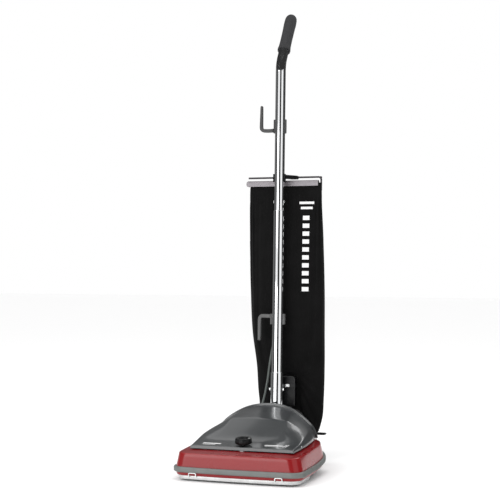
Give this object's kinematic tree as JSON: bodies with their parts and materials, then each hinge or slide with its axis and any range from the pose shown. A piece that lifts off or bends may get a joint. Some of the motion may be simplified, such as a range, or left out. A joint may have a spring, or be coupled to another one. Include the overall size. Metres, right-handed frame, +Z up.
{
  "type": "upright vacuum cleaner",
  "caption": "Upright vacuum cleaner: low wheeled base with brush roll, hooded motor, tilting chrome tube handle with cord hooks, and a hung cloth bag.",
  "frame": {"origin": "on the floor under the middle of the overall box", "axes": "+Z up, the front with the brush roll faces -Y, +X on the right of someone who looks at the front"},
  "size_m": [0.35, 0.5107, 1.2666],
  "materials": {
    "red_paint": "gloss enamel",
    "grey_plastic": "semi-gloss moulded",
    "bumper_grey": "moulded vinyl strip",
    "black_plastic": "moulded",
    "hook_grey": "moulded",
    "chrome": "plated steel tube",
    "steel": "zinc plated",
    "cast_aluminium": "as cast",
    "copper": "copper winding and segments",
    "rubber": "moulded",
    "foam": "closed cell foam sleeve",
    "cloth": "woven cloth",
    "lead_grey": "round flexible lead",
    "bristle": "roll with bristle rows"
  },
  "bodies": {
    "base": {"base_housing": "red_paint", "bumper": "bumper_grey", "bottom_plate": "steel", "chassis": "cast_aluminium", "hood": "grey_plastic", "rear_cover": "black_plastic", "exhaust_elbow": "black_plastic", "handle_bracket": "cast_aluminium", "pivot_pin": "steel", "lead_gland": "rubber", "motor_frame": "cast_aluminium", "stator": "steel", "fan_housing": "cast_aluminium", "bearing_lower": "steel", "bearing_upper": "steel", "brush_holder_left": "black_plastic", "brush_holder_right": "black_plastic", "roll_cap_left": "black_plastic", "roll_cap_right": "black_plastic", "drive_belt": "rubber", "rear_axle": "steel", "carriage_spring": "steel", "pedal_spring": "steel", "duct_boot": "rubber", "motor_lead": "lead_grey"},
    "handle": {"handle_yoke": "cast_aluminium", "socket_sleeve": "chrome", "socket_bolt": "steel", "lower_tube": "chrome", "upper_tube": "chrome", "tube_coupler": "steel", "joint_bolt": "steel", "grip": "foam", "switch_housing": "black_plastic", "upper_hook_clamp": "hook_grey", "lower_hook": "hook_grey", "bag_bail": "steel", "bail_clip": "black_plastic", "bag": "cloth", "bag_inlet_duct": "black_plastic", "duct_clamp": "steel"},
    "rotor": {"motor_shaft": "steel", "armature": "copper", "commutator": "copper", "fan": "grey_plastic"},
    "roll": {"brush_roll": "bristle"},
    "carriage": {"front_carriage": "steel", "front_axle": "steel"},
    "wheel_front_left": {"front_wheel_left": "rubber"},
    "wheel_front_right": {"front_wheel_right": "rubber"},
    "wheel_rear_left": {"rear_wheel_left": "rubber"},
    "wheel_rear_right": {"rear_wheel_right": "rubber"},
    "knob": {"height_knob": "black_plastic", "height_cam": "steel"},
    "pedal": {"release_pedal": "black_plastic"},
    "latch_left": {"plate_latch_left": "steel"},
    "latch_right": {"plate_latch_right": "steel"},
    "hook": {"upper_hook": "hook_grey"},
    "clamp": {"bag_clamp": "steel"},
    "rocker": {"switch_rocker": "black_plastic"}
  },
  "joints": [
    {"name": "handle_recline", "type": "hinge", "parent": "base", "child": "handle", "pos_m": [0, 0.0982, 0.1], "axis": [-1, 0, 0], "range_deg": [0, 75], "deforming": ["duct_boot", "motor_lead", "bag"]},
    {"name": "motor_spin", "type": "hinge", "parent": "base", "child": "rotor", "pos_m": [0, -0.0273, 0.07], "axis": [0, 0, 1], "continuous": true},
    {"name": "brush_roll_spin", "type": "hinge", "parent": "base", "child": "roll", "pos_m": [0, -0.2003, 0.026], "axis": [1, 0, 0], "continuous": true},
    {"name": "carriage_lift", "type": "hinge", "parent": "base", "child": "carriage", "pos_m": [0, -0.0553, 0.0195], "axis": [-1, 0, 0], "range_deg": [0, 4], "deforming": ["carriage_spring"]},
    {"name": "wheel_front_left_spin", "type": "hinge", "parent": "carriage", "child": "wheel_front_left", "pos_m": [-0.085, -0.1203, 0.014], "axis": [1, 0, 0], "continuous": true},
    {"name": "wheel_front_right_spin", "type": "hinge", "parent": "carriage", "child": "wheel_front_right", "pos_m": [0.085, -0.1203, 0.014], "axis": [1, 0, 0], "continuous": true},
    {"name": "wheel_rear_left_spin", "type": "hinge", "parent": "base", "child": "wheel_rear_left", "pos_m": [-0.1045, 0.0047, 0.024], "axis": [1, 0, 0], "continuous": true},
    {"name": "wheel_rear_right_spin", "type": "hinge", "parent": "base", "child": "wheel_rear_right", "pos_m": [0.1045, 0.0047, 0.024], "axis": [1, 0, 0], "continuous": true},
    {"name": "knob_turn", "type": "hinge", "parent": "base", "child": "knob", "pos_m": [0, -0.1818, 0.0885], "axis": [0, -0.0872, 0.9962], "range_deg": [0, 200]},
    {"name": "pedal_press", "type": "hinge", "parent": "base", "child": "pedal", "pos_m": [0.08, 0.0697, 0.092], "axis": [-1, 0, 0], "range_deg": [0, 12], "stiffness_Nm_per_rad": 0.4, "springref_deg": -8.59, "deforming": ["pedal_spring"]},
    {"name": "latch_left_turn", "type": "hinge", "parent": "base", "child": "latch_left", "pos_m": [-0.11, -0.1343, 0.0094], "axis": [0, 0, -1], "range_deg": [0, 90]},
    {"name": "latch_right_turn", "type": "hinge", "parent": "base", "child": "latch_right", "pos_m": [0.11, -0.1343, 0.0094], "axis": [0, 0, 1], "range_deg": [0, 90]},
    {"name": "hook_swivel", "type": "hinge", "parent": "handle", "child": "hook", "pos_m": [-0.0202, 0.13189, 0.92181], "axis": [-1, 0, 0], "range_deg": [0, 180]},
    {"name": "bag_clamp_slide", "type": "slide", "parent": "handle", "child": "clamp", "axis": [-1, 0, 0], "range_m": [0, 0.215]},
    {"name": "switch_rock", "type": "hinge", "parent": "handle", "child": "rocker", "pos_m": [0, 0.15998, 1.03325], "axis": [1, 0, 0], "range_deg": [0, 12]}
  ],
  "couplings": [
    {"joint": "brush_roll_spin", "follows": "motor_spin", "ratio": 0.53},
    {"joint": "knob_turn", "follows": "carriage_lift", "ratio": 50}
  ]
}
